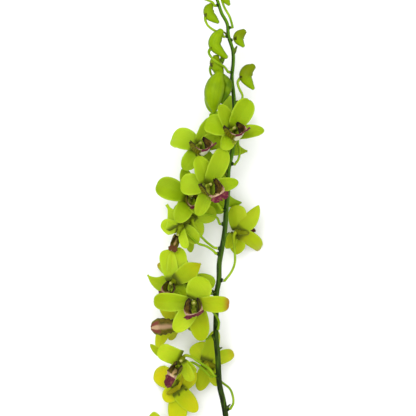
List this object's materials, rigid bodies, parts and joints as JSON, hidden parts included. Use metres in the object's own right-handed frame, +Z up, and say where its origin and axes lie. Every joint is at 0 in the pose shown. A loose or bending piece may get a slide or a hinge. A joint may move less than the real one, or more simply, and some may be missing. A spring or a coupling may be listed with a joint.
{
  "type": "dendrobium orchid stem",
  "caption": "Cut flower stem of a green dendrobium orchid: open blooms with maroon cupped lips on long stalks along a slender dark green rachis, and boot-shaped buds at its tip.",
  "frame": {"origin": "on the surface that the stem lies on, under the middle of its box", "axes": "+Y along the stem towards its tip, +Z up from the surface, +X to the right as the camera above sees it"},
  "size_m": [0.1176, 0.5618, 0.0836],
  "materials": {
    "stem": "satin, dark green living stem",
    "tepal": "satin, waxy yellow-green tepals",
    "tepal_old": "satin, waxy yellower tepals of the oldest blooms",
    "lip": "satin, maroon to olive lip",
    "bud": "satin, smooth green buds"
  },
  "bodies": {
    "root": {"rachis": "stem", "bloom_01": "tepal", "bloom_01_lip": "lip", "bloom_02": "tepal", "bloom_02_lip": "lip", "bloom_03": "tepal", "bloom_03_lip": "lip", "bloom_04": "tepal", "bloom_04_lip": "lip", "bloom_05": "tepal", "bloom_05_lip": "lip", "bloom_06": "tepal", "bloom_06_lip": "lip", "bloom_07": "tepal", "bloom_07_lip": "lip", "bloom_08": "tepal", "bloom_08_lip": "lip", "bloom_09": "tepal", "bloom_09_lip": "lip", "bloom_10": "tepal_old", "bloom_10_lip": "lip", "bloom_11": "tepal", "bloom_11_lip": "lip", "bloom_12": "tepal_old", "bloom_12_lip": "lip", "bloom_13": "tepal_old", "bloom_13_lip": "lip", "bloom_14": "tepal", "bloom_14_lip": "lip", "bloom_15": "tepal", "bloom_15_lip": "lip", "bloom_16": "tepal", "bloom_16_lip": "lip", "bloom_17": "tepal", "bloom_17_lip": "lip", "bud_01": "bud", "bud_02": "bud", "bud_03": "bud", "bud_04": "bud", "bud_05": "bud", "bud_06": "bud", "bud_07": "bud", "bud_08": "bud", "bud_09": "bud"}
  },
  "joints": []
}
